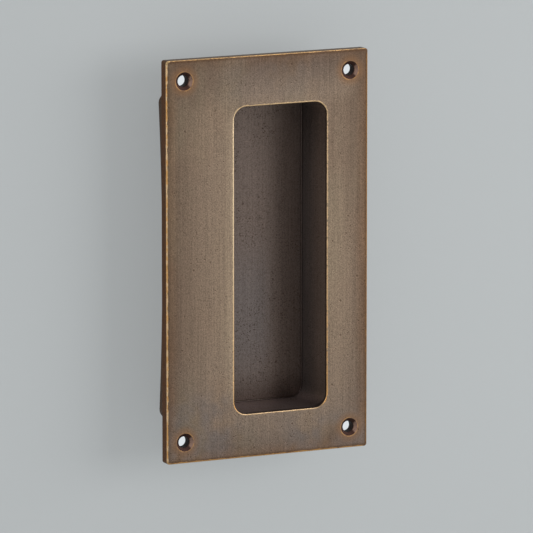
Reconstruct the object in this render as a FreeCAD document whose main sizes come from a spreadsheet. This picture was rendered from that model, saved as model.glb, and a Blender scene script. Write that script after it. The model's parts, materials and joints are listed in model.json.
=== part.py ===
"""Pocket door pull: one brass casting, a flat plate with an off-centre finger pocket.

Millimetres. X runs across the plate, Z runs up it and Y runs into the door. The origin is the
middle of the four screw holes, in the plane of the plate's back, which seats on the door. The
pocket is undercut behind the plate's wide margin, where the fingers hook in to slide the door.
"""

import FreeCAD, Part
import enum
import math
import os
import Sketcher

NODE = "flush_pull"
TOUCH = 0.001


class Spot(enum.IntEnum):
    """Which point of a sketch's piece a constraint holds."""

    START = enum.auto()
    END = enum.auto()
    CENTRE = enum.auto()


class Axis(enum.IntEnum):
    """The sketch's own axes, as constraints name them."""

    ACROSS = -1
    UP = -2


# The pieces of a rounded outline, anticlockwise from its bottom side
Piece = enum.IntEnum("Piece", "BOTTOM BOTTOM_RIGHT RIGHT TOP_RIGHT TOP TOP_LEFT LEFT BOTTOM_LEFT", start=0)
ORIGIN = (Axis.ACROSS, Spot.START)

# Driving dimensions of the casting
DIMENSIONS = {
    "opening_width": 37.9,
    "opening_height": 115.0,
    "opening_corner": 5.0,
    "opening_arris": 0.4,
    "hook_margin": 27.4,
    "plain_margin": 16.7,
    "top_margin": 18.7,
    "bottom_margin": 16.3,
    "plate_thickness": 4.5,
    "plate_corner": 1.0,
    "plate_arris": 0.35,
    "pocket_depth": 20.8,
    "pocket_draft": 1.0,
    "hook_reach": 15.5,
    "floor_fillet": 0.4,
    "side_wall": 4.0,
    "back_wall": 3.0,
    "body_corner": 4.0,
    "body_draft": 1.0,
    "body_back_edge": 2.5,
    "body_root": 1.0,
    "hook_wall_bow": 1.3,
    "screw_side_inset": 7.3,
    "screw_end_inset": 7.8,
    "screw_hole": 4.2,
    "countersink": 6.8,
    "countersink_angle": 90.0,
    "countersink_arris": 0.15,
}

# Distances from the origin to the sides of the plate, which the opening and its margins make up
HALF_WIDTH = "(sizes.hook_margin + sizes.opening_width + sizes.plain_margin) / 2"
HALF_HEIGHT = "(sizes.top_margin + sizes.opening_height + sizes.bottom_margin) / 2"
PLATE = {"left": HALF_WIDTH, "right": HALF_WIDTH, "bottom": HALF_HEIGHT, "top": HALF_HEIGHT}

# Distances from the origin to the sides of the opening
OPENING = {
    "left": f"{HALF_WIDTH} - sizes.hook_margin",
    "right": f"{HALF_WIDTH} - sizes.plain_margin",
    "bottom": f"{HALF_HEIGHT} - sizes.bottom_margin",
    "top": f"{HALF_HEIGHT} - sizes.top_margin",
}

# Distances from the origin to the middle of a screw hole
SCREW_ACROSS = f"{HALF_WIDTH} - sizes.screw_side_inset"
SCREW_UP = f"{HALF_HEIGHT} - sizes.screw_end_inset"


def dimension_sheet(doc):
    """Spreadsheet with one named cell for each driving dimension."""
    sheet = doc.addObject("Spreadsheet::Sheet", "sizes")
    for row, (name, size) in enumerate(DIMENSIONS.items(), 1):
        sheet.set(f"A{row}", name)
        sheet.set(f"B{row}", str(size))
        sheet.setAlias(f"B{row}", name)
    doc.recompute()
    return sheet


def new_sketch(body, name, offset=None):
    """Sketch on the body's plane across the door, X to its right and Z up, moved forward by offset."""
    sketch = body.newObject("Sketcher::SketchObject", name)
    plane = next(item for item in body.Origin.OriginFeatures if item.Role == "XZ_Plane")
    sketch.AttachmentSupport = [(plane, "")]
    sketch.MapMode = "FlatFace"
    if offset:
        sketch.setExpression(".AttachmentOffset.Base.z", offset)
    return sketch


def value(sketch, expression):
    """Number that an expression in the sheet's names gives now."""
    return float(sketch.evalExpression(expression))


def reach_of(sketch, sides):
    """Left, right, bottom and top of an outline, from its distances to the origin."""
    left, right, bottom, top = (value(sketch, sides[side]) for side in ("left", "right", "bottom", "top"))
    return -left, right, -bottom, top


def constrain(sketch, kind, *where, size=None):
    """Adds one constraint, with its size tied to an expression if it has one."""
    if size is None:
        return sketch.addConstraint(Sketcher.Constraint(kind, *where))
    index = sketch.addConstraint(Sketcher.Constraint(kind, *where, value(sketch, size)))
    sketch.setExpression(f"Constraints[{index}]", size)
    return index


def circle(x, y, radius):
    """Circle about a point."""
    return Part.Circle(FreeCAD.Vector(x, y, 0), FreeCAD.Vector(0, 0, 1), radius)


def arc(x, y, radius, first, last):
    """Arc about a point, from one angle in degrees to another, anticlockwise."""
    return Part.ArcOfCircle(circle(x, y, radius), math.radians(first), math.radians(last))


def line(x0, y0, x1, y1):
    """Straight edge from one point to another."""
    return Part.LineSegment(FreeCAD.Vector(x0, y0, 0), FreeCAD.Vector(x1, y1, 0))


def bowed_side(left, ends, radius, depth):
    """Arc that bows a left side inward, tangent to corners of that radius, and its lean in degrees."""
    bottom, top = ends
    half = (top - bottom) / 2
    bow_radius = (half**2 + (radius - depth) ** 2 - radius**2) / (2 * depth)
    lean = math.degrees(math.asin(half / (bow_radius + radius)))
    return arc(left + depth - bow_radius, (top + bottom) / 2, bow_radius, -lean, lean), lean


def add_outline(sketch, sides, corner, bow=None):
    """Closed rounded rectangle, its left side bowed inward by the size that bow names, if any."""
    left, right, bottom, top = reach_of(sketch, sides)
    radius = value(sketch, corner)
    inner_left, inner_right = left + radius, right - radius
    inner_bottom, inner_top = bottom + radius, top - radius
    left_side, lean = line(left, inner_top, left, inner_bottom), 0.0
    if bow:
        left_side, lean = bowed_side(left, (inner_bottom, inner_top), radius, value(sketch, bow))
    pieces = {
        Piece.BOTTOM: line(inner_left, bottom, inner_right, bottom),
        Piece.BOTTOM_RIGHT: arc(inner_right, inner_bottom, radius, -90, 0),
        Piece.RIGHT: line(right, inner_bottom, right, inner_top),
        Piece.TOP_RIGHT: arc(inner_right, inner_top, radius, 0, 90),
        Piece.TOP: line(inner_right, top, inner_left, top),
        Piece.TOP_LEFT: arc(inner_left, inner_top, radius, 90, 180 + lean),
        Piece.LEFT: left_side,
        Piece.BOTTOM_LEFT: arc(inner_left, inner_bottom, radius, 180 - lean, 270),
    }
    sketch.addGeometry([pieces[piece] for piece in Piece], False)
    hold_corners(sketch, corner, bowed=bool(bow))
    constrain(sketch, "DistanceX", *ORIGIN, Piece.RIGHT, Spot.START, size=sides["right"])
    constrain(sketch, "DistanceY", *ORIGIN, Piece.TOP, Spot.START, size=sides["top"])
    constrain(sketch, "DistanceY", Piece.BOTTOM, Spot.START, *ORIGIN, size=sides["bottom"])
    constrain(sketch, "DistanceX", Piece.TOP_LEFT, Spot.CENTRE, *ORIGIN, size=f"{sides['left']} - {corner}")
    if bow:
        hold_waist(sketch, sides["left"], bow)


def hold_waist(sketch, place, bow):
    """Holds the middle of a bowed left side, at that place less its bow."""
    waist_place = f"{place} - {bow}"
    height = sketch.Geometry[Piece.LEFT].Center.y
    point = FreeCAD.Vector(-value(sketch, waist_place), height, 0)
    waist = sketch.addGeometry(Part.Point(point), True)
    constrain(sketch, "PointOnObject", waist, Spot.START, Piece.LEFT)
    constrain(sketch, "Horizontal", waist, Spot.START, Piece.LEFT, Spot.CENTRE)
    constrain(sketch, "DistanceX", waist, Spot.START, *ORIGIN, size=waist_place)


def hold_corners(sketch, corner, bowed):
    """Makes the four corners equal, tangent to their sides and square to each other."""
    for piece in Piece:
        following = Piece((piece + 1) % len(Piece))
        last = Spot.START if bowed and piece == Piece.LEFT else Spot.END
        first = Spot.END if bowed and following == Piece.LEFT else Spot.START
        constrain(sketch, "Tangent", piece, last, following, first)
    for side in (Piece.BOTTOM, Piece.TOP):
        constrain(sketch, "Horizontal", side)
    constrain(sketch, "Vertical", Piece.RIGHT)
    for other in (Piece.TOP_RIGHT, Piece.TOP_LEFT, Piece.BOTTOM_LEFT):
        constrain(sketch, "Equal", Piece.BOTTOM_RIGHT, other)
    constrain(sketch, "Radius", Piece.BOTTOM_RIGHT, size=corner)
    if bowed:
        constrain(sketch, "Vertical", Piece.TOP_LEFT, Spot.CENTRE, Piece.BOTTOM_LEFT, Spot.CENTRE)
    else:
        constrain(sketch, "Vertical", Piece.LEFT)


def screw_circles(sketch):
    """Four equal circles, mirrored about both axes of the plate."""
    across, up = value(sketch, SCREW_ACROSS), value(sketch, SCREW_UP)
    radius = value(sketch, "sizes.screw_hole / 2")
    for x, z in ((across, up), (-across, up), (across, -up), (-across, -up)):
        sketch.addGeometry(circle(x, z, radius), False)
    constrain(sketch, "DistanceX", *ORIGIN, 0, Spot.CENTRE, size=SCREW_ACROSS)
    constrain(sketch, "DistanceY", *ORIGIN, 0, Spot.CENTRE, size=SCREW_UP)
    constrain(sketch, "Symmetric", 0, Spot.CENTRE, 1, Spot.CENTRE, Axis.UP)
    constrain(sketch, "Symmetric", 0, Spot.CENTRE, 2, Spot.CENTRE, Axis.ACROSS)
    constrain(sketch, "Symmetric", 1, Spot.CENTRE, 3, Spot.CENTRE, Axis.ACROSS)
    constrain(sketch, "Diameter", 0, size="sizes.screw_hole")
    for other in (1, 2, 3):
        constrain(sketch, "Equal", 0, other)


def add_extrusion(body, kind, name, sketch, length, into_door, taper=None):
    """Pad or pocket of a sketch, toward the door or toward the hand."""
    feature = body.newObject(f"PartDesign::{kind}", name)
    feature.Profile = sketch
    feature.setExpression("Length", length)
    feature.Reversed = into_door == (kind == "Pad")
    if taper:
        feature.setExpression("TaperAngle", taper)
    body.Document.recompute()
    return feature


def add_fillet(body, name, base, radius, chosen):
    """Fillet on the edges of base whose bounding box the test picks."""
    edges = [f"Edge{index}" for index, edge in enumerate(base.Shape.Edges, 1) if chosen(edge.BoundBox)]
    if not edges:
        raise RuntimeError(f"{name} found no edge to round")
    fillet = body.newObject("PartDesign::Fillet", name)
    fillet.Base = (base, edges)
    fillet.setExpression("Radius", radius)
    body.Document.recompute()
    return fillet


def flat_at(box, depth):
    """True for an edge that lies flat at that depth."""
    return abs(box.YMin - depth) < TOUCH and abs(box.YMax - depth) < TOUCH


def within(box, reach):
    """True for an edge inside the rectangle that reach gives: left, right, bottom and top."""
    left, right, bottom, top = reach
    across = left - TOUCH < box.XMin and box.XMax < right + TOUCH
    return across and bottom - TOUCH < box.ZMin and box.ZMax < top + TOUCH


def add_plate(body):
    """Flat face plate with slightly rounded corners, in front of the door's face."""
    sketch = new_sketch(body, "plate_outline")
    add_outline(sketch, PLATE, "sizes.plate_corner")
    plate = add_extrusion(body, "Pad", "plate", sketch, "sizes.plate_thickness", into_door=False)
    front = -plate.Length.Value
    return add_fillet(
        body, "plate_edges", plate, "sizes.plate_arris",
        lambda edge: flat_at(edge, front) or flat_at(edge, 0),
    )


def add_pocket_body(body):
    """Tapered box behind the plate that holds the pocket, its hook side bowed in at mid height."""
    sides = {side: f"{place} + sizes.side_wall" for side, place in OPENING.items()}
    sides["left"] += " + sizes.hook_reach + sizes.hook_wall_bow"
    depth = "sizes.pocket_depth + sizes.back_wall - sizes.plate_thickness"
    sketch = new_sketch(body, "body_outline")
    add_outline(sketch, sides, "sizes.body_corner", bow="sizes.hook_wall_bow")
    draft = "-sizes.body_draft"
    box = add_extrusion(body, "Pad", "pocket_body", sketch, depth, into_door=True, taper=draft)
    back, reach = box.Length.Value, reach_of(sketch, sides)
    rounded = add_fillet(body, "back_edges", box, "sizes.body_back_edge", lambda edge: flat_at(edge, back))
    return add_fillet(
        body, "body_root", rounded, "sizes.body_root",
        lambda edge: flat_at(edge, 0) and within(edge, reach),
    )


def cut_opening(body):
    """Opening through the plate, off centre, with its front edge worn round."""
    sketch = new_sketch(body, "opening_outline")
    add_outline(sketch, OPENING, "sizes.opening_corner")
    opening = add_extrusion(body, "Pocket", "opening", sketch, "sizes.plate_thickness", into_door=False)
    front, reach = -opening.Length.Value, reach_of(sketch, OPENING)
    return add_fillet(
        body, "opening_edge", opening, "sizes.opening_arris",
        lambda edge: flat_at(edge, front) and within(edge, reach),
    )


def cut_finger_pocket(body):
    """Tapered pocket behind the plate, as high as the opening and undercut behind the wide margin."""
    sides = dict(OPENING, left=OPENING["left"] + " + sizes.hook_reach")
    sketch = new_sketch(body, "pocket_outline")
    add_outline(sketch, sides, "sizes.opening_corner")
    depth = "sizes.pocket_depth - sizes.plate_thickness"
    draft = "-sizes.pocket_draft"
    pocket = add_extrusion(body, "Pocket", "finger_pocket", sketch, depth, into_door=True, taper=draft)
    floor = pocket.Length.Value
    return add_fillet(body, "floor_edges", pocket, "sizes.floor_fillet", lambda edge: flat_at(edge, floor))


def drill_screw_holes(body):
    """Four countersunk holes through the plate, drilled from its front."""
    sketch = new_sketch(body, "screw_places", offset="sizes.plate_thickness")
    screw_circles(sketch)
    body.Document.recompute()
    holes = body.newObject("PartDesign::Hole", "screw_holes")
    holes.Profile = sketch
    body.Document.recompute()
    holes.DepthType = "ThroughAll"
    holes.ThreadType = "None"
    holes.HoleCutType = "Countersink"
    holes.HoleCutCustomValues = True
    holes.setExpression("Diameter", "sizes.screw_hole")
    holes.setExpression("HoleCutDiameter", "sizes.countersink")
    holes.setExpression("HoleCutCountersinkAngle", "sizes.countersink_angle")
    body.Document.recompute()
    front, rim = -value(sketch, "sizes.plate_thickness"), value(sketch, "sizes.countersink")
    return add_fillet(
        body, "screw_hole_rims", holes, "sizes.countersink_arris",
        lambda edge: flat_at(edge, front) and abs(edge.XLength - rim) < TOUCH,
    )


def check(doc):
    """Stops if an object failed, a sketch is loose or the casting isn't one valid solid."""
    failed = [item.Label for item in doc.Objects if {"Invalid", "Error"} & set(item.State)]
    if failed:
        raise RuntimeError(f"failed: {failed}")
    sketches = [item for item in doc.Objects if item.isDerivedFrom("Sketcher::SketchObject")]
    loose = [sketch.Label for sketch in sketches if not sketch.FullyConstrained]
    if loose:
        raise RuntimeError(f"not fully constrained: {loose}")
    shape = doc.getObject(NODE).Shape
    if shape.isNull() or not shape.isValid() or len(shape.Solids) != 1:
        raise RuntimeError("the casting isn't one valid solid")
    return shape


def main():
    """Builds the casting, checks it and writes it."""
    os.makedirs("parts", exist_ok=True)
    doc = FreeCAD.newDocument("pocket_door_pull")
    dimension_sheet(doc)
    body = doc.addObject("PartDesign::Body", NODE)
    body.Label = NODE
    add_plate(body)
    add_pocket_body(body)
    cut_opening(body)
    cut_finger_pocket(body)
    drill_screw_holes(body)
    shape = check(doc)
    shape.exportStep(f"parts/{NODE}.step")
    print(NODE, "volume", round(shape.Volume), "faces", len(shape.Faces), shape.BoundBox)


main()
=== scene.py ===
"""Pocket door pull in aged brass: its finish, the backdrop and light of a small studio, and the camera.

Metres, in the frame of the casting: X runs across the plate, Z runs up it and Y runs into the door.
The finish is worked out in millimetres from the same origin, the middle of the four screw holes.
"""

import bmesh
import bpy
import json
import logging
import math
from dataclasses import dataclass
from enum import Enum
from typing import Any, Optional, Union
from mathutils import Matrix, Vector

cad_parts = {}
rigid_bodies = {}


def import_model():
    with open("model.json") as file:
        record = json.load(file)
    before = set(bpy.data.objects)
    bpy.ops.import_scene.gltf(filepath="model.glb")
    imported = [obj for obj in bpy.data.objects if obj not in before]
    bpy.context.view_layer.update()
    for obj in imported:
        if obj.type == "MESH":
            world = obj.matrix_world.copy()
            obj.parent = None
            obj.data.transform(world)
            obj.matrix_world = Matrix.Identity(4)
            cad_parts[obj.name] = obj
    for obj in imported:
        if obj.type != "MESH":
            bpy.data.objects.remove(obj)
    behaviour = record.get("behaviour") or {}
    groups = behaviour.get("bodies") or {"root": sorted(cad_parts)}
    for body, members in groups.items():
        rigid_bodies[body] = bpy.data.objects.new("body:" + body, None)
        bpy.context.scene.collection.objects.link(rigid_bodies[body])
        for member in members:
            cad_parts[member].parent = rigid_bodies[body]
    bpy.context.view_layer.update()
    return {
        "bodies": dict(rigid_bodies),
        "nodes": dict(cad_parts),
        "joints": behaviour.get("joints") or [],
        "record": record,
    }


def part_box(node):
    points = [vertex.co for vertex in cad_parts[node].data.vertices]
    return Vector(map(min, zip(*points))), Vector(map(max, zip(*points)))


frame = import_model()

log = logging.getLogger("door_pull")

MILLIMETRE = 0.001
NODE = "flush_pull"

Number = Union["Wire", float]
Colour = tuple[float, float, float]
Stretch = tuple[float, float, float]


def srgb(red: float, green: float, blue: float) -> Colour:
    """Linear colour of a screen colour.

    Args:
        red: Red from 0 to 255.
        green: Green from 0 to 255.
        blue: Blue from 0 to 255.

    Returns:
        The three linear parts, each from 0 to 1.
    """

    def linear(part: float) -> float:
        """Linear value of one part."""
        part /= 255
        return part / 12.92 if part <= 0.04045 else ((part + 0.055) / 1.055) ** 2.4

    return linear(red), linear(green), linear(blue)


class Wire:
    """A number that a node gives, which answers to Python's arithmetic with more nodes."""

    def __init__(self, graph: "Graph", socket: bpy.types.NodeSocket) -> None:
        """Keeps the socket and the graph that new nodes go to."""
        self.graph = graph
        self.socket = socket

    def math(self, operation: str, *values: Number) -> "Wire":
        """Math node on values.

        Args:
            operation: Name of the node's operation.
            values: Its inputs in order.

        Returns:
            The node's result.
        """
        return self.graph.node("ShaderNodeMath", {"operation": operation}, dict(enumerate(values)))["Value"]

    def __add__(self, other: Number) -> "Wire":
        """Sum."""
        return self.math("ADD", self, other)

    __radd__ = __add__

    def __sub__(self, other: Number) -> "Wire":
        """Difference."""
        return self.math("SUBTRACT", self, other)

    def __rsub__(self, other: Number) -> "Wire":
        """Difference, with this wire taken from the other value."""
        return self.math("SUBTRACT", other, self)

    def __mul__(self, other: Number) -> "Wire":
        """Product."""
        return self.math("MULTIPLY", self, other)

    __rmul__ = __mul__

    def __truediv__(self, other: Number) -> "Wire":
        """Quotient."""
        return self.math("DIVIDE", self, other)

    def __pow__(self, other: Number) -> "Wire":
        """Power."""
        return self.math("POWER", self, other)

    def __abs__(self) -> "Wire":
        """Distance from zero."""
        return self.math("ABSOLUTE", self)

    def least(self, other: Number) -> "Wire":
        """The smaller of two values."""
        return self.math("MINIMUM", self, other)

    def most(self, other: Number) -> "Wire":
        """The larger of two values."""
        return self.math("MAXIMUM", self, other)

    def rise(self, low: Number, high: Number) -> "Wire":
        """Smooth step.

        Args:
            low: Value at and below which the step is 0.
            high: Value at and above which it is 1.

        Returns:
            The step, from 0 to 1.
        """
        settings = {"interpolation_type": "SMOOTHSTEP"}
        return self.graph.node(
            "ShaderNodeMapRange", settings, {"Value": self, "From Min": low, "From Max": high}
        )["Result"]

    def fall(self, low: Number, high: Number) -> "Wire":
        """Smooth step from 1 at low to 0 at high."""
        return 1.0 - self.rise(low, high)


class Outputs:
    """The outputs of one node, by name."""

    def __init__(self, graph: "Graph", node: bpy.types.Node) -> None:
        """Keeps the node."""
        self.graph = graph
        self.made = node

    def __getitem__(self, name: str) -> Wire:
        """Wire from the output of that name, the one in use if several share it."""
        found = [socket for socket in self.made.outputs if socket.name == name and socket.enabled]
        return Wire(self.graph, found[0])


class Graph:
    """A material's or the world's node tree."""

    def __init__(self, owner: Union[bpy.types.Material, bpy.types.World]) -> None:
        """Starts an empty tree.

        Args:
            owner: Material or world that the tree belongs to.
        """
        owner.use_nodes = True
        self.tree = owner.node_tree
        self.tree.nodes.clear()

    def node(
        self,
        kind: str,
        settings: Optional[dict[str, Any]] = None,
        inputs: Optional[dict[Union[str, int], Any]] = None,
    ) -> Outputs:
        """Adds one node.

        Args:
            kind: The node's type.
            settings: Its own settings, set first.
            inputs: Values or links of its sockets, by name or by number.

        Returns:
            The node's outputs.
        """
        node = self.tree.nodes.new(kind)
        for name, setting in (settings or {}).items():
            setattr(node, name, setting)
        for name, value in (inputs or {}).items():
            socket = self.socket(node, name)
            if isinstance(value, Wire):
                self.tree.links.new(value.socket, socket)
            elif socket.type == "RGBA":
                socket.default_value = (*value, 1.0)
            else:
                socket.default_value = value
        return Outputs(self, node)

    @staticmethod
    def socket(node: bpy.types.Node, name: Union[str, int]) -> bpy.types.NodeSocket:
        """Finds an input of a node.

        Args:
            node: The node.
            name: The input's name or number.

        Returns:
            The input, the one in use if several share the name.
        """
        if isinstance(name, int):
            return node.inputs[name]
        return next(socket for socket in node.inputs if socket.name == name and socket.enabled)

    def mix(self, factor: Number, first: Any, second: Any, blend: str = "MIX") -> Wire:
        """Blend of two colours.

        Args:
            factor: Share of the second colour, or strength of the blend.
            first: First colour or its wire.
            second: Second colour or its wire.
            blend: Kind of blend.

        Returns:
            The blended colour.
        """
        settings = {"data_type": "RGBA", "blend_type": blend, "clamp_factor": True}
        return self.node("ShaderNodeMix", settings, {"Factor": factor, "A": first, "B": second})["Result"]

    def vector(self, operation: str, first: Any, second: Any) -> Wire:
        """Vector Math node on two vectors."""
        return self.node("ShaderNodeVectorMath", {"operation": operation}, {0: first, 1: second})["Vector"]

    def noise(self, place: Wire, stretch: Stretch, detail: float, roughness: float = 0.5) -> Wire:
        """Noise whose grain is stretched.

        Args:
            place: Place in millimetres.
            stretch: Cycles per millimetre along X, Y and Z.
            detail: Octaves of finer noise.
            roughness: Strength of each finer octave.

        Returns:
            The noise, from about 0.2 to 0.8.
        """
        inputs = {
            "Vector": self.vector("MULTIPLY", place, stretch),
            "Scale": 1.0,
            "Detail": detail,
            "Roughness": roughness,
        }
        return self.node("ShaderNodeTexNoise", None, inputs)["Fac"]


@dataclass(frozen=True)
class Casting:
    """Places on the casting that its finish follows, in millimetres."""

    half_width: float
    half_height: float
    front: float
    hole_across: float
    hole_up: float
    hook_margin: float = 27.4
    plain_margin: float = 16.7
    top_margin: float = 18.7
    bottom_margin: float = 16.3
    opening_corner: float = 5.0
    plate_thickness: float = 4.5
    hook_reach: float = 15.5
    pocket_depth: float = 20.8
    countersink: float = 6.8
    screw_hole: float = 4.2

    @classmethod
    def from_frame(cls, frame: dict[str, Any]) -> "Casting":
        """Reads the plate's reach and the screw holes' spacing from the frame.

        Args:
            frame: The loaded frame.

        Returns:
            The casting's places.
        """
        low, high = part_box(NODE)
        holes = next(mount for mount in frame["record"]["mounts"] if mount["name"] == "screw_holes")["dims"]
        return cls(
            half_width=high.x / MILLIMETRE,
            half_height=high.z / MILLIMETRE,
            front=low.y / MILLIMETRE,
            hole_across=holes["spacing_x_mm"] / 2,
            hole_up=holes["spacing_y_mm"] / 2,
        )

    @property
    def opening(self) -> tuple[float, float, float, float]:
        """Sides of the opening.

        Returns:
            Its left, right, bottom and top.
        """
        return (
            self.hook_margin - self.half_width,
            self.half_width - self.plain_margin,
            self.bottom_margin - self.half_height,
            self.half_height - self.top_margin,
        )


class Survey:
    """Distances on the casting as wires, in millimetres, for the masks of a finish."""

    def __init__(self, graph: Graph, casting: Casting) -> None:
        """Splits the place on the object into its parts.

        Args:
            graph: Tree that the wires belong to.
            casting: Places on the casting.
        """
        self.graph = graph
        self.casting = casting
        scale = (1 / MILLIMETRE,) * 3
        coordinates = graph.node("ShaderNodeTexCoord")
        self.place = graph.vector("MULTIPLY", coordinates["Object"], scale)
        parts = graph.node("ShaderNodeSeparateXYZ", None, {"Vector": self.place})
        self.across, self.up = parts["X"], parts["Z"]
        self.depth = parts["Y"] - casting.front

    def to_plate_edge(self) -> Wire:
        """Distance to the plate's nearest side, inward from it."""
        from_side = self.casting.half_width - abs(self.across)
        return from_side.least(self.casting.half_height - abs(self.up))

    def to_outline(self, sides: tuple[float, float, float, float], corner: float) -> Wire:
        """Distance to a rounded rectangle seen from the front.

        Args:
            sides: Its left, right, bottom and top.
            corner: Radius of its corners.

        Returns:
            The distance, negative inside it.
        """
        left, right, bottom, top = sides
        beyond_x = abs(self.across - (left + right) / 2) - ((right - left) / 2 - corner)
        beyond_z = abs(self.up - (bottom + top) / 2) - ((top - bottom) / 2 - corner)
        out_x, out_z = beyond_x.most(0.0), beyond_z.most(0.0)
        outside = (out_x * out_x + out_z * out_z) ** 0.5
        return outside + beyond_x.most(beyond_z).least(0.0) - corner

    def to_lip(self) -> Wire:
        """Distance to the opening's outline."""
        return self.to_outline(self.casting.opening, self.casting.opening_corner)

    def to_pocket_wall(self) -> Wire:
        """Distance to the outline of the pocket behind the plate, undercut on its hook side.

        Returns:
            The distance, negative inside the outline.
        """
        left, right, bottom, top = self.casting.opening
        sides = (left - self.casting.hook_reach, right, bottom, top)
        return self.to_outline(sides, self.casting.opening_corner)

    def left_edge(self) -> Wire:
        """Strip along the plate's left edge, from 0 to 1."""
        return self.across.fall(1.0 - self.casting.half_width, 2.0 - self.casting.half_width)

    def top_edge(self) -> Wire:
        """Strip along the plate's top edge, from 0 to 1."""
        return self.up.rise(self.casting.half_height - 2.0, self.casting.half_height - 1.0)

    def base_edge(self) -> Wire:
        """Strip along the plate's bottom edge, from 0 to 1."""
        return self.up.fall(1.0 - self.casting.half_height, 2.0 - self.casting.half_height)

    def right_edge(self) -> Wire:
        """Strip along the plate's right edge, from 0 to 1."""
        return self.across.rise(self.casting.half_width - 2.0, self.casting.half_width - 1.0)

    def across_screw(self) -> Wire:
        """Distance to the right of the nearest screw hole's axis."""
        side = self.across.math("SIGN", self.across)
        return self.across - side * self.casting.hole_across

    def up_screw(self) -> Wire:
        """Distance above the nearest screw hole's axis."""
        side = self.up.math("SIGN", self.up)
        return self.up - side * self.casting.hole_up

    def to_screw(self) -> Wire:
        """Distance to the nearest screw hole's axis."""
        aside, above = self.across_screw(), self.up_screw()
        return (aside * aside + above * above) ** 0.5


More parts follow.
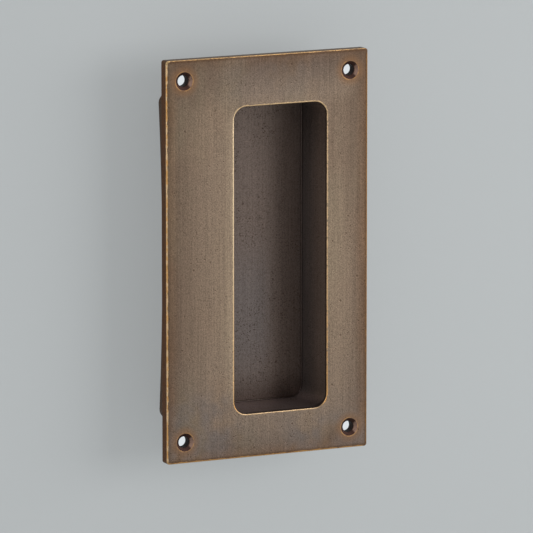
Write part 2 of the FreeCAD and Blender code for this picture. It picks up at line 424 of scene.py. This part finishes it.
@dataclass(frozen=True)
class AgedBrass:
    """Dark antique patina over cast brass, brushed along the height and rubbed bright at the edges, with
    painted highlights and painted shade on some edges, in the pocket and in the countersinks.

    A grain is a pattern's cycles to the millimetre, across, into and up the plate. Widths are in
    millimetres, and a share is how much of a colour is mixed in.
    """

    patina: Colour = srgb(153, 132, 113)
    lighter_patina: Colour = srgb(162, 141, 119)
    buffed: Colour = srgb(180, 158, 134)
    darker_patina: Colour = srgb(108, 88, 74)
    pocket_patina: Colour = srgb(138, 122, 113)
    pocket_chill: Colour = srgb(124, 123, 126)
    wall_shade: Colour = srgb(123, 116, 114)
    # painted light on the side walls near the lip
    wall_lit: Colour = srgb(156, 138, 126)
    base_shade: Colour = srgb(153, 138, 136)
    # painted shade on the bottom wall near the lip
    base_shade_near_lip: Colour = srgb(114, 101, 98)
    dark_side: Colour = srgb(100, 59, 23)
    back_patina: Colour = srgb(92, 70, 52)
    olive: Colour = srgb(146, 132, 110)
    umber: Colour = srgb(150, 124, 104)
    slate: Colour = srgb(127, 117, 112)
    # grime, also used as painted shade in the pocket, along the crease and just inside the lip
    grime_and_shade: Colour = srgb(40, 31, 29)
    pit: Colour = srgb(70, 52, 40)
    gold: Colour = srgb(222, 168, 104)
    # painted highlight over the wear on the upper lip, the opening's left side and the plate's left edge
    cream: Colour = srgb(250, 226, 188)
    # dull_gold, dim_gold and bronze dim the rubbed edges with painted shade on the bottom lip and the
    # plate's top, right and bottom edges
    dull_gold: Colour = srgb(180, 152, 118)
    dim_gold: Colour = srgb(172, 138, 92)
    bronze: Colour = srgb(122, 84, 42)
    edging: Colour = srgb(98, 68, 42)
    copper: Colour = srgb(152, 112, 78)
    # painted light on the countersinks' lit right side
    rose: Colour = srgb(156, 128, 114)
    # painted shade down the screw bores
    painted_shade: Colour = srgb(34, 25, 22)
    # painted shade over the rest of the countersinks
    seat: Colour = srgb(78, 56, 50)
    skin_grain: Stretch = (2.5, 2.5, 2.1)
    brush_grain: Stretch = (1.6, 1.6, 0.03)
    speck_grain: Stretch = (1.7, 1.7, 1.7)
    crowd_grain: Stretch = (0.09, 0.09, 0.09)
    pit_edge_grain: Stretch = (1.3, 1.3, 1.3)
    ragged_grain: Stretch = (0.5, 0.5, 0.5)
    nick_grain: Stretch = (1.4, 1.4, 1.4)
    lump_grain: Stretch = (0.6, 0.6, 0.6)
    drift_grain: Stretch = (0.06, 0.06, 0.02)
    haze_grain: Stretch = (0.035, 0.035, 0.03)
    patch_grain: Stretch = (0.13, 0.13, 0.1)
    pit_cells: float = 0.3
    brush_share: float = 0.3
    pit_share: float = 0.7
    # share of grime and painted shade along the crease and just inside the lip
    grime_and_shade_share: float = 0.6
    halo_share: float = 0.55
    edging_share: float = 0.5
    worn_edge: float = 0.38
    worn_lip: float = 0.4
    worn_fade: float = 0.12
    screw_halo: float = 3.5
    copper_rim: float = 6.0
    lip_band_width: float = 12.0
    crease_width: float = 0.9
    roughness: float = 0.46
    metallic: float = 0.92
    grain_relief: float = 0.02
    pit_relief: float = 0.06
    grain_contrast: float = 1.5

    def dress(self, piece: bpy.types.Object, casting: Casting) -> None:
        """Gives the finish to a piece.

        Args:
            piece: Object whose material slots take the finish.
            casting: Places that the finish follows.
        """
        material = bpy.data.materials.new("aged_brass")
        graph = Graph(material)
        survey = Survey(graph, casting)
        pits = self.pits(graph, survey)
        grain = self.grain(graph, survey)
        wear = self.wear(graph, survey)
        colour = self.colour(graph, survey, grain, pits, wear)
        height = grain * self.grain_relief - pits * self.pit_relief
        relief = {"Strength": 1.0, "Distance": MILLIMETRE, "Height": height}
        bump = graph.node("ShaderNodeBump", None, relief)
        seat = survey.to_screw().fall(casting.countersink / 2 - 0.1, casting.countersink / 2)
        roughness = self.roughness + (grain - 0.5) * 0.25 + pits * 0.2 - wear * 0.12 + seat * 0.25
        surface = {
            "Base Color": colour,
            "Metallic": self.metallic,
            "Roughness": roughness,
            "Normal": bump["Normal"],
        }
        shader = graph.node("ShaderNodeBsdfPrincipled", None, surface)
        graph.node("ShaderNodeOutputMaterial", None, {"Surface": shader["BSDF"]})
        piece.data.materials.clear()
        piece.data.materials.append(material)

    def grain(self, graph: Graph, survey: Survey) -> Wire:
        """Speckle of the cast skin with fine brushed lines up the plate.

        Args:
            graph: Material's tree.
            survey: Distances on the casting.

        Returns:
            The speckle, about 0.5.
        """
        skin = graph.noise(survey.place, self.skin_grain, 1.0)
        lines = graph.noise(survey.place, self.brush_grain, 1.0)
        return skin * (1.0 - self.brush_share) + lines * self.brush_share

    def pits(self, graph: Graph, survey: Survey) -> Wire:
        """Small dark pits left by the casting, single ones and crowds of specks.

        Args:
            graph: Material's tree.
            survey: Distances on the casting.

        Returns:
            The pits, from 0 to 1.
        """
        warp = graph.noise(survey.place, self.pit_edge_grain, 2.0)
        inputs = {"Vector": survey.place, "Scale": self.pit_cells}
        cells = graph.node("ShaderNodeTexVoronoi", None, inputs)
        chance = graph.node("ShaderNodeSeparateColor", None, {"Color": cells["Color"]})
        reach = (chance["Red"] - 0.5).most(0.0) * 0.33
        away = cells["Distance"] + (warp - 0.5) * 0.12
        single = away.fall(reach * 0.5, reach + 0.01)
        specks = graph.noise(survey.place, self.speck_grain, 1.0)
        patches = graph.noise(survey.place, self.crowd_grain, 1.0)
        crowd = (patches - survey.up * 0.0012).rise(0.42, 0.66)
        deep = survey.depth.rise(0.4, 1.0) * 0.04
        crowded = specks.rise(0.63 - deep, 0.76 - deep) * (0.4 + crowd * 0.6)
        return (single * 0.75).most(crowded)

    def wear(self, graph: Graph, survey: Survey) -> Wire:
        """Bright metal where the edges of the plate and of the opening are rubbed, wider on the opening's
        left side to carry a painted highlight.

        Args:
            graph: Material's tree.
            survey: Distances on the casting.

        Returns:
            The wear, from 0 to 1.
        """
        ragged = (graph.noise(survey.place, self.ragged_grain, 3.0, 0.6) - 0.5) * 0.9
        nicks = (graph.noise(survey.place, self.nick_grain, 1.0) - 0.5) * 0.6
        left = survey.left_edge()
        top = survey.top_edge() * (1.0 - left)
        along_face, along_side = 1.0 + top * 1.6, 2.0 - left - top * 1.55
        from_edge = survey.to_plate_edge() * along_face + survey.depth * along_side
        corner = left * survey.up.rise(72.5, 74.0)
        plate = (from_edge + ragged - corner * 0.25).fall(self.worn_edge, self.worn_edge + 0.17)
        # the opening's left side, rubbed, where the worn band is widened to carry a painted highlight
        rubbed = self.left_of_lip(survey)
        lip_width = self.worn_lip + rubbed * 0.16 + survey.up.rise(53.0, 55.0) * 0.1
        lip_width = lip_width - survey.across.rise(15.0, 20.0) * 0.05
        from_lip = abs(survey.to_lip()) + survey.depth * (1.9 - rubbed * 0.9)
        lip = (from_lip + ragged * 0.3 + nicks - lip_width).fall(0.0, self.worn_fade)
        return plate.most(lip)

    @staticmethod
    def left_of_lip(survey: Survey) -> Wire:
        """Left side of the opening's edge, which fingers rub most and where a highlight is painted, from 0
        to 1.
        """
        beside = survey.across.fall(-13.0, -9.0) * abs(survey.up).fall(50.0, 57.0)
        return beside * survey.to_lip().fall(2.0, 3.0)

    @staticmethod
    def open_face(survey: Survey, drift: Wire) -> Wire:
        """How far a place on the face lies from the plate's edges and darker parts.

        Args:
            survey: Distances on the casting.
            drift: Slow noise over the face.

        Returns:
            The openness, 1 where the patina is lightest.
        """
        casting = survey.casting
        middle = abs(survey.up).fall(40.0, 58.0)
        from_left = (casting.half_width + survey.across) / 22.0 + middle * 0.08
        beside = from_left.least((casting.half_width - survey.across) / 10.0)
        from_end = (casting.half_height - abs(survey.up)) / 16.0
        level = beside.least(from_end).least(1.0) + (drift - 0.5) * 0.16
        right_margin = survey.across.rise(22.0, 26.0) * survey.across.fall(31.0, 38.5)
        high = survey.up.rise(-5.0, 35.0) * survey.up.fall(54.0, 64.0)
        level = level - right_margin * (high * 0.44 + survey.up.fall(-55.0, -20.0) * 0.2)
        level = level + survey.up.fall(-66.0, -58.0) * survey.across.rise(-12.0, 0.0) * 0.2
        level = level - survey.across.fall(-36.0, -22.0) * survey.up.fall(-68.0, -56.0) * 0.24
        smudge = abs(survey.across + 23.0).fall(2.0, 12.0) * abs(survey.up - 62.0).fall(1.0, 9.0)
        level = level - smudge * 0.28
        return level - abs(survey.up).rise(52.0, 66.0) * 0.07

    def face(self, graph: Graph, survey: Survey) -> Wire:
        """Patina of the face, lighter beside the opening, darker and cooler toward its ends.

        Args:
            graph: Material's tree.
            survey: Distances on the casting.

        Returns:
            The colour.
        """
        drift = graph.noise(survey.place, self.drift_grain, 2.0)
        haze = graph.noise(survey.place, self.haze_grain, 2.0)
        colour = graph.mix(self.open_face(survey, drift).rise(-0.2, 1.0), self.darker_patina, self.patina)
        colour = graph.mix(drift.rise(0.45, 0.7) * 0.4, colour, self.olive)
        colour = graph.mix(haze.rise(0.5, 0.75) * 0.4, colour, self.umber)
        patches = graph.noise(survey.place, self.patch_grain, 2.0)
        colour = graph.mix(self.cool_ends(survey) * patches.rise(0.25, 0.6), colour, self.slate)
        rim = survey.to_plate_edge().fall(0.5, self.copper_rim) * (1.4 - patches)
        colour = graph.mix(rim * (1.0 - survey.up.rise(56.0, 70.0) * 0.5) * 0.3, colour, self.copper)
        beside_left = (survey.across + survey.casting.half_width).fall(0.4, 2.8) * 0.3
        above_base = (survey.up + survey.casting.half_height).fall(0.4, 2.0) * 0.2
        colour = graph.mix(beside_left.most(above_base), colour, self.grime_and_shade)
        middle_band = abs(survey.up).fall(10.0, 60.0) * survey.up.fall(10.0, 50.0)
        beside_lip = survey.to_lip().fall(0.0, self.lip_band_width)
        colour = graph.mix(beside_lip * middle_band * 0.5, colour, self.lighter_patina)
        left_of_opening = survey.across.fall(-13.0, -9.0) * abs(survey.up).fall(48.0, 58.0)
        return graph.mix(survey.to_lip().fall(0.5, 5.0) * left_of_opening * 0.6, colour, self.buffed)

    @staticmethod
    def cool_ends(survey: Survey) -> Wire:
        """Where the face turns slate grey, above the opening and beside it lower down.

        Args:
            survey: Distances on the casting.

        Returns:
            The share of slate, from 0 to 1.
        """
        low = survey.up.fall(-75.0, -25.0) * 0.3
        above = survey.up.rise(54.0, 62.0) * abs(survey.across - 4.0).fall(12.0, 34.0) * 0.3
        start = -46.0 - survey.across.rise(-10.0, 15.0) * 12.0
        below = survey.up.fall(start - 10.0, start) * abs(survey.across + 2.0).rise(4.0, 18.0) * 0.45
        return low + above + below

    def pocket_floor(self, graph: Graph, survey: Survey) -> Wire:
        """Patina of the pocket's floor, with painted shade toward the right wall, a little over its left
        half and toward the bottom.

        Args:
            graph: Material's tree.
            survey: Distances on the casting.

        Returns:
            The colour.
        """
        chill = abs(survey.up + 26.0).fall(5.0, 38.0) * survey.across.fall(6.0, 15.0)
        colour = graph.mix(chill * 0.35, self.pocket_patina, self.pocket_chill)
        # painted shade over the floor, deepest toward the right wall and the bottom
        painted_shade = survey.across.rise(7.0, 18.0) * 0.46 + survey.across.fall(-4.0, 5.0) * 0.12
        return graph.mix(painted_shade + survey.up.fall(-58.0, -46.0) * 0.3, colour, self.grime_and_shade)

    def pocket(self, graph: Graph, survey: Survey) -> Wire:
        """Patina of the whole pocket, with painted light on its side walls toward the lip, painted shade on
        its bottom wall toward the lip and high up the side walls, and grime with painted shade along the
        crease.

        Args:
            graph: Material's tree.
            survey: Distances on the casting.

        Returns:
            The colour.
        """
        floor_depth, bottom = survey.casting.pocket_depth, survey.casting.opening[2]
        # painted light and shade: side walls lighter toward the lip, the bottom wall darker toward it, and
        # the side walls darker high up
        near_lip = survey.depth.fall(2.0, 19.0)
        beside = graph.mix(near_lip, self.wall_shade, self.wall_lit)
        beside = graph.mix(survey.up.rise(25.0, 50.0) * 0.25, beside, self.grime_and_shade)
        base = graph.mix(near_lip, self.base_shade, self.base_shade_near_lip)
        walls = graph.mix(survey.up.fall(bottom + 0.6, bottom + 4.0), beside, base)
        wall = survey.depth.fall(floor_depth - 0.6, floor_depth - 0.1)
        colour = graph.mix(wall, self.pocket_floor(graph, survey), walls)
        # grime and painted shade along the crease where the walls meet the floor
        from_crease = abs(survey.depth - floor_depth) + abs(survey.to_pocket_wall() + 0.3)
        crease = from_crease.fall(self.crease_width / 3, self.crease_width)
        return graph.mix(crease * self.grime_and_shade_share, colour, self.grime_and_shade)

    def colour(self, graph: Graph, survey: Survey, grain: Wire, pits: Wire, wear: Wire) -> Wire:
        """Colour all over the casting.

        Args:
            graph: Material's tree.
            survey: Distances on the casting.
            grain: Speckle, about 0.5.
            pits: Pits, from 0 to 1.
            wear: Bright metal, from 0 to 1.

        Returns:
            The colour.
        """
        behind = survey.depth.rise(0.4, 1.0)
        floor_depth, bottom = survey.casting.pocket_depth, survey.casting.opening[2]
        thickness = survey.casting.plate_thickness
        from_left = survey.across + survey.casting.half_width
        # the plate's left side in a darker brown
        left_side = survey.depth.fall(thickness - 0.2, thickness) * from_left.fall(0.4, 0.7)
        outside = graph.mix(left_side, self.back_patina, self.dark_side)
        colour = graph.mix(behind, self.face(graph, survey), outside)
        before_back = survey.depth.fall(floor_depth + 0.5, floor_depth + 1.5)
        within = survey.to_pocket_wall().fall(0.4, 1.8) * before_back * behind
        colour = graph.mix(within, colour, self.pocket(graph, survey))
        # painted shade just inside the opening's lip, deeper along the bottom wall
        low = survey.up.fall(bottom, bottom + 3.0)
        under_lip = abs(survey.depth - 0.9 - low * 0.8).fall(0.3 + low * 0.5, 0.8 + low)
        lip_shade = under_lip * survey.to_lip().fall(0.3, 0.5)
        colour = graph.mix(lip_shade * self.grime_and_shade_share, colour, self.grime_and_shade)
        shade = 1.0 + (grain - 0.5) * self.grain_contrast
        grey = graph.node("ShaderNodeCombineColor", None, {"Red": shade, "Green": shade, "Blue": shade})
        colour = graph.mix(1.0, colour, grey["Color"], "MULTIPLY")
        colour = self.screw_seat(graph, survey, colour)
        colour = graph.mix(pits * self.pit_share, colour, self.pit)
        dull_sides = survey.top_edge().most(survey.right_edge()).most(survey.base_edge())
        rim = survey.to_plate_edge().fall(0.5, 1.5) * dull_sides
        colour = graph.mix(rim * self.edging_share, colour, self.edging)
        return graph.mix(wear, colour, self.metal(graph, survey))

    def metal(self, graph: Graph, survey: Survey) -> Wire:
        """Colour of the rubbed edges, palest at the left with a painted highlight and dullest at the right,
        with painted shade dulling the bottom lip and the plate's top, right and bottom edges.

        Args:
            graph: Material's tree.
            survey: Distances on the casting.

        Returns:
            The colour.
        """
        on_lip = survey.to_lip().fall(2.0, 3.0)
        bottom = survey.casting.opening[2]
        lumps = graph.noise(survey.place, self.lump_grain, 1.0).rise(0.4, 0.6)
        left_edge = survey.left_edge() * lumps.most(survey.up.rise(72.0, 74.0) * 2.0)
        # painted highlight: cream over the wear on the upper lip, the opening's left side and the plate's
        # left edge
        pale = on_lip * survey.up.rise(-60.0, 20.0) * 0.5 + self.left_of_lip(survey) * 0.3 + left_edge * 0.45
        colour = graph.mix(pale, self.gold, self.cream)
        # painted shade dulling the bottom lip and the plate's top, right and bottom edges
        colour = graph.mix(on_lip * survey.up.fall(bottom, bottom + 3.0), colour, self.dull_gold)
        colour = graph.mix(survey.top_edge() * 0.85, colour, self.dim_gold)
        return graph.mix(survey.right_edge() * 0.75 + survey.base_edge() * 0.35, colour, self.bronze)

    def screw_seat(self, graph: Graph, survey: Survey, colour: Wire) -> Wire:
        """Adds the countersinks, dark with painted shade and lighter on their right with painted light, the
        thin bright rings round them and their halos to a colour.

        Args:
            graph: Material's tree.
            survey: Distances on the casting.
            colour: Colour all round.

        Returns:
            The colour with the screw holes' own.
        """
        casting = survey.casting
        rim, bore = casting.countersink / 2, casting.screw_hole / 2
        away = survey.to_screw()
        uneven = graph.noise(survey.place, self.lump_grain, 2.0).rise(0.35, 0.62)
        on_face = survey.depth.fall(0.2, 0.6)
        halo = away.fall(rim, rim + self.screw_halo) * on_face
        colour = graph.mix(halo * self.halo_share, colour, self.copper)
        ring = abs(away - rim - 0.1).fall(0.1, 0.35) * uneven * on_face
        colour = graph.mix(ring * 0.45, colour, self.gold)
        # painted light on the countersink's right side, the side the light reaches
        rubbed = (survey.across_screw() - abs(survey.up_screw() + 0.4) * 0.55).rise(0.9, 1.8)
        cone = graph.mix(rubbed * away.rise(bore + 0.1, bore + 0.4), self.seat, self.rose)
        # painted shade down the screw bore
        cone = graph.mix(away.fall(bore - 0.05, bore + 0.2), cone, self.painted_shade)
        in_cone = away.fall(rim - 0.1, rim + 0.05) * survey.depth.fall(1.8, 2.4)
        return graph.mix(in_cone.most(away.fall(bore + 0.05, bore + 0.15)), colour, cone)


def direction(azimuth: float, elevation: float) -> Vector:
    """Unit vector from the object toward a direction; azimuth 0 is its front."""
    turn, tilt = math.radians(azimuth), math.radians(elevation)
    return Vector((math.sin(turn) * math.cos(tilt), -math.cos(turn) * math.cos(tilt), math.sin(tilt)))


class Side(Enum):
    """Which side of a stage plane shows."""

    UP = "up"
    FRONT = "front"


class Target(Enum):
    """What a lamp lights."""

    CASTING = "casting"
    BACKDROP = "backdrop"


@dataclass(frozen=True)
class Lamp:
    """Soft lamp that faces the object; angles in degrees, sizes in metres."""

    name: str
    azimuth: float
    elevation: float
    power: float
    target: Target = Target.CASTING
    distance: float = 1.2
    width: float = 0.8
    height: float = 0.8

    def build(self, lit: bpy.types.Collection) -> None:
        """Adds the lamp to the scene.

        Args:
            lit: Pieces that it alone lights.
        """
        data = bpy.data.lights.new(self.name, "AREA")
        data.energy = self.power
        data.shape = "RECTANGLE"
        data.size, data.size_y = self.width, self.height
        lamp = bpy.data.objects.new(self.name, data)
        bpy.context.scene.collection.objects.link(lamp)
        back = direction(self.azimuth, self.elevation)
        lamp.location = back * self.distance
        lamp.rotation_mode = "QUATERNION"
        lamp.rotation_quaternion = (-back).to_track_quat("-Z", "Y")
        lamp.light_linking.receiver_collection = lit


@dataclass(frozen=True)
class Studio:
    """Pale floor and backdrop, soft lamps and the world, in metres where no unit is named."""

    backdrop_colour: Colour = srgb(191, 195, 196)
    gleam_colour: Colour = srgb(220, 225, 228)
    floor_height: float = -0.125
    wall_distance: float = 0.0205
    wall_glow: float = 0.53
    gleam_gap_mm: float = 0.2
    floor_reach: float = 1.5
    backdrop_reach: float = 0.3
    world_level: float = 0.4
    lamps: tuple[Lamp, ...] = (
        Lamp("key", 50.0, 45.0, 7.6),
        Lamp("fill", -50.0, 35.0, 3.2),
        Lamp("low_fill", -65.0, 6.0, 2.6),
        Lamp("side", 60.0, 10.0, 4.8),
        Lamp("rear", 150.0, 30.0, 1.5),
        Lamp("backdrop_lamp", 45.0, -5.0, 17.0, Target.BACKDROP, width=1.0, height=1.2),
    )

    def build(self, casting: Casting, piece: bpy.types.Object) -> None:
        """Builds the stage, the lamps and the world.

        Args:
            casting: Places of the screw holes.
            piece: The casting's own object, which the lamps light.
        """
        floor = self.plane("floor", Side.UP)
        backdrop = self.plane("backdrop", Side.FRONT)
        self.gleams(casting)
        lit = {
            Target.CASTING: self.group("lit_casting", piece, floor),
            Target.BACKDROP: self.group("lit_backdrop", backdrop),
        }
        for lamp in self.lamps:
            lamp.build(lit[lamp.target])
        self.world()
        log.info("studio built with %d lamps", len(self.lamps))

    @staticmethod
    def group(name: str, *pieces: bpy.types.Object) -> bpy.types.Collection:
        """Gathers the pieces that a lamp lights.

        Args:
            name: The collection's name.
            pieces: What it holds.

        Returns:
            The collection.
        """
        collection = bpy.data.collections.new(name)
        for piece in pieces:
            collection.objects.link(piece)
        return collection

    def gleams(self, casting: Casting) -> None:
        """Adds the bright room's light, seen from the front through the four screw holes.

        Args:
            casting: Places of the screw holes.
        """
        mesh = bpy.data.meshes.new("hole_light")
        radius = casting.countersink / 2 * MILLIMETRE
        turn = Matrix.Rotation(math.radians(90), 4, "X")
        build = bmesh.new()
        for across in (-casting.hole_across, casting.hole_across):
            for up in (-casting.hole_up, casting.hole_up):
                place = Matrix.Translation(Vector((across, self.gleam_gap_mm, up)) * MILLIMETRE)
                bmesh.ops.create_circle(
                    build, cap_ends=True, segments=32, radius=radius, matrix=place @ turn
                )
        build.to_mesh(mesh)
        build.free()
        light = bpy.data.objects.new("hole_light", mesh)
        bpy.context.scene.collection.objects.link(light)
        mesh.materials.append(self.paint("hole_light", self.gleam_colour, 1.0, lights_nothing=True))

    def plane(self, name: str, side: Side) -> bpy.types.Object:
        """Adds a large one-sided plane that keeps the object's shadow.

        Args:
            name: The plane's name.
            side: Side that shows.

        Returns:
            The plane.
        """
        if side is Side.UP:
            far = self.floor_reach
            corners = [(-far, -far), (far, -far), (far, far), (-far, far)]
            places = [(x, y, self.floor_height) for x, y in corners]
        else:
            far, low = self.backdrop_reach, self.floor_height
            corners = [(-far, low), (far, low), (far, low + far * 2), (-far, low + far * 2)]
            places = [(x, self.wall_distance, z) for x, z in corners]
        mesh = bpy.data.meshes.new(name)
        mesh.from_pydata(places, [], [(0, 1, 2, 3)])
        plane = bpy.data.objects.new(name, mesh)
        bpy.context.scene.collection.objects.link(plane)
        upright = side is Side.FRONT
        glow = self.wall_glow if upright else 0.0
        mesh.materials.append(self.paint(name, self.backdrop_colour, glow, lights_nothing=upright))
        return plane

    @staticmethod
    def paint(name: str, colour: Colour, glow: float, lights_nothing: bool) -> bpy.types.Material:
        """Matt paint that shows from one side only.

        Args:
            name: Name of what is painted.
            colour: Its colour.
            glow: Share of the colour that shows whatever light falls on it.
            lights_nothing: True if it is seen, also in metal, but throws no light or shade.

        Returns:
            The material.
        """
        material = bpy.data.materials.new(f"{name}_paint")
        graph = Graph(material)
        matt = graph.node("ShaderNodeBsdfDiffuse", None, {"Color": colour})["BSDF"]
        even = graph.node("ShaderNodeEmission", None, {"Color": colour})["Emission"]
        paint = graph.node("ShaderNodeMixShader", None, {0: glow, 1: matt, 2: even})["Shader"]
        clear = graph.node("ShaderNodeBsdfTransparent")["BSDF"]
        shown = 1.0 - graph.node("ShaderNodeNewGeometry")["Backfacing"]
        if lights_nothing:
            rays = graph.node("ShaderNodeLightPath")
            shown = shown * (rays["Is Camera Ray"] + rays["Is Glossy Ray"] + rays["Is Transmission Ray"])
        surface = graph.node("ShaderNodeMixShader", None, {0: shown, 1: clear, 2: paint})["Shader"]
        graph.node("ShaderNodeOutputMaterial", None, {"Surface": surface})
        return material

    def world(self) -> None:
        """Even pale light all round, which shows past the stage."""
        world = bpy.data.worlds.new("studio")
        bpy.context.scene.world = world
        graph = Graph(world)
        light = graph.node("ShaderNodeBackground", None, {"Color": (self.world_level,) * 3})
        graph.node("ShaderNodeOutputWorld", None, {"Surface": light["Background"]})


@dataclass(frozen=True)
class Viewpoint:
    """Camera at the photograph's viewing angle."""

    azimuth: float = -25.54
    elevation: float = 10.04
    distance: float = 2.2785
    lens: float = 417.16
    near: float = 0.1
    far: float = 20.0
    target: tuple[float, float, float] = (-0.000502, -0.0045, -0.003846)

    def build(self) -> None:
        """Makes the camera and sets it as the scene's."""
        data = bpy.data.cameras.new("camera")
        data.lens = self.lens
        data.clip_start, data.clip_end = self.near, self.far
        camera = bpy.data.objects.new("camera", data)
        bpy.context.scene.collection.objects.link(camera)
        back = direction(self.azimuth, self.elevation)
        camera.location = Vector(self.target) + back * self.distance
        camera.rotation_mode = "QUATERNION"
        camera.rotation_quaternion = (-back).to_track_quat("-Z", "Y")
        bpy.context.scene.camera = camera


def main() -> None:
    """Dresses the casting, builds the studio and sets the camera."""
    logging.basicConfig(level=logging.INFO)
    casting = Casting.from_frame(frame)
    piece = frame["nodes"][NODE]
    AgedBrass().dress(piece, casting)
    log.info("%s dressed", NODE)
    Studio().build(casting, piece)
    Viewpoint().build()
    bpy.context.scene.view_settings.view_transform = "Standard"


if __name__ == "__main__":
    main()
